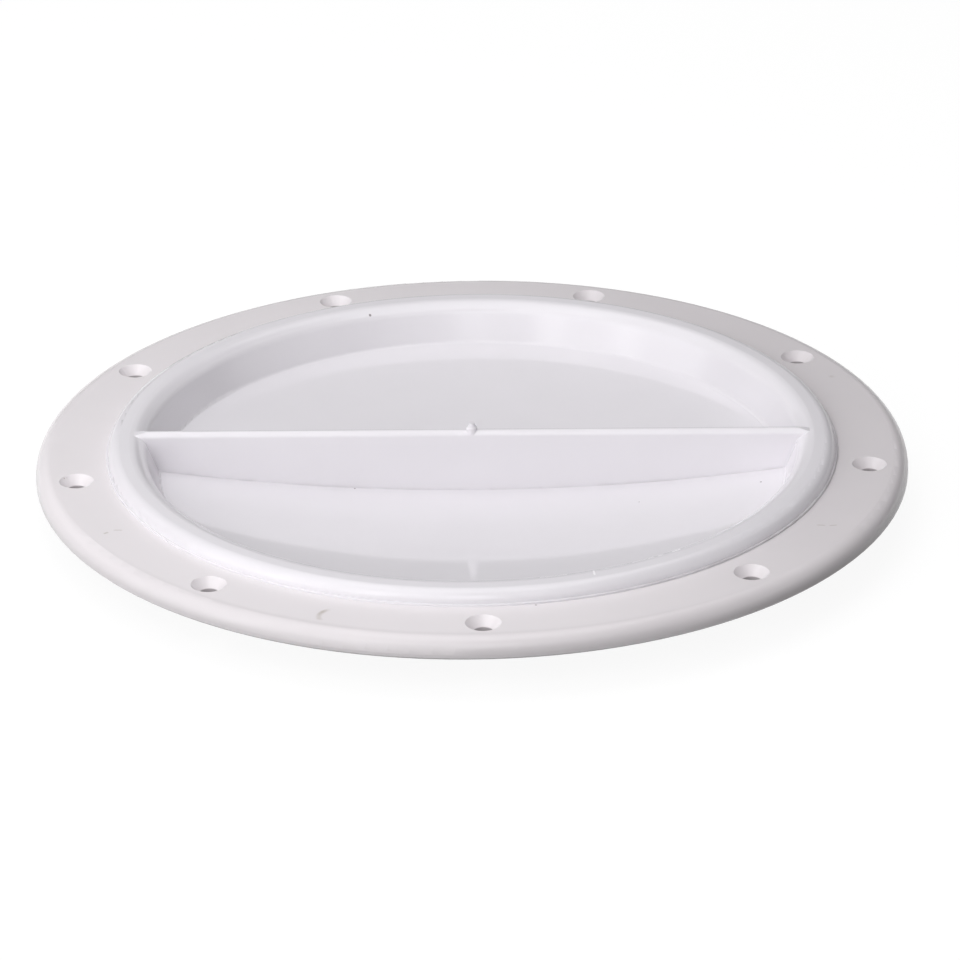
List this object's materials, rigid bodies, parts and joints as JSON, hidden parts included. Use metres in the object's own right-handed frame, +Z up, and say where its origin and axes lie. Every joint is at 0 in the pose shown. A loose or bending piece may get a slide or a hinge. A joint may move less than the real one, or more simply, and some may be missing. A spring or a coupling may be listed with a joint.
{
  "type": "deck inspection plate",
  "caption": "Round flush deck access plate: a countersunk-screwed flange ring with a short collar, and a dished screw-in cover with a straight grip rib and an O-ring seal.",
  "frame": {"origin": "centre of the flange's underside, which lies on the deck", "axes": "+Z up out of the deck along the plate's axis, +X along the grip rib with the cover closed"},
  "size_m": [0.203, 0.203, 0.0194],
  "materials": {
    "ring_plastic": "semi-gloss white moulded polypropylene",
    "cover_plastic": "semi-gloss white moulded polypropylene",
    "seal_rubber": "black nitrile rubber"
  },
  "bodies": {
    "deck_ring": {"deck_ring": "ring_plastic"},
    "seal": {"o_ring": "seal_rubber"},
    "cover": {"cover": "cover_plastic"}
  },
  "joints": [
    {"name": "cover_lift", "type": "slide", "parent": "deck_ring", "child": "seal", "axis": [0, 0, 1], "range_m": [0, 0.0144]},
    {"name": "cover_turn", "type": "hinge", "parent": "seal", "child": "cover", "pos_m": [0, 0, 0], "axis": [0, 0, 1], "range_deg": [0, 1296]}
  ],
  "couplings": [
    {"joint": "cover_lift", "follows": "cover_turn", "m_per_rad": 0.00063662}
  ]
}
